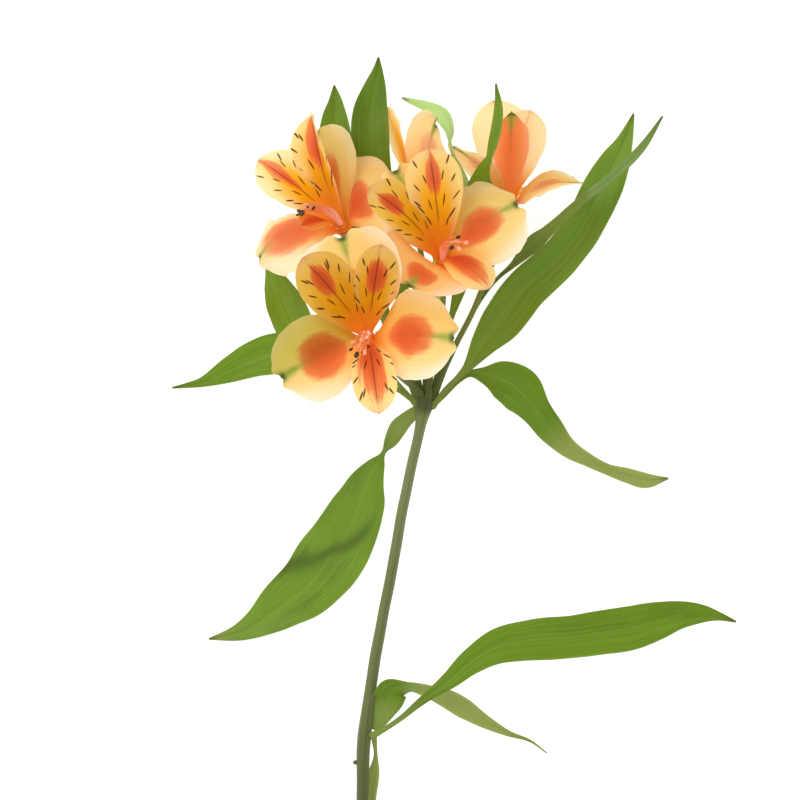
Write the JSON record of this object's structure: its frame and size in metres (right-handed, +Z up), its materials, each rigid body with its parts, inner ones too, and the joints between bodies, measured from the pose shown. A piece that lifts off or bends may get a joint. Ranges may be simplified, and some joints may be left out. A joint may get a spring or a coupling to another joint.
{
  "type": "alstroemeria stem",
  "caption": "Cut alstroemeria stem lying on its side, with an umbel of peach and yellow blooms above narrow twisted green leaves.",
  "frame": {"origin": "middle of the bounding box, on the surface that the stem lies on", "axes": "+Y along the stem from the cut end to the blooms, +Z up from the surface"},
  "size_m": [0.2032, 0.309, 0.0965],
  "materials": {
    "stem": "satin, living plant tissue",
    "leaf": "satin, living plant tissue",
    "pedicel": "satin, living plant tissue",
    "outer_tepal": "soft matt petal",
    "inner_tepal": "soft matt petal",
    "stamen": "soft matt"
  },
  "bodies": {
    "root": {"stem": "stem", "leaf_upper_1": "leaf", "leaf_upper_2": "leaf", "leaf_upper_3": "leaf", "leaf_upper_4": "leaf", "leaf_right_1": "leaf", "leaf_right_2": "leaf", "leaf_right_3": "leaf", "leaf_left_1": "leaf", "leaf_left_2": "leaf", "leaf_left_3": "leaf", "leaf_low_1": "leaf", "leaf_low_2": "leaf", "leaf_low_3": "leaf", "pedicel_front": "pedicel", "bloom_front_outer_tepals": "outer_tepal", "bloom_front_inner_tepals": "inner_tepal", "bloom_front_stamens": "stamen", "pedicel_left": "pedicel", "bloom_left_outer_tepals": "outer_tepal", "bloom_left_inner_tepals": "inner_tepal", "bloom_left_stamens": "stamen", "pedicel_right": "pedicel", "bloom_right_outer_tepals": "outer_tepal", "bloom_right_inner_tepals": "inner_tepal", "bloom_right_stamens": "stamen", "pedicel_back_middle": "pedicel", "bloom_back_middle_outer_tepals": "outer_tepal", "bloom_back_middle_inner_tepals": "inner_tepal", "bloom_back_middle_stamens": "stamen", "pedicel_back_right": "pedicel", "bloom_back_right_outer_tepals": "outer_tepal", "bloom_back_right_inner_tepals": "inner_tepal", "bloom_back_right_stamens": "stamen"}
  },
  "joints": []
}
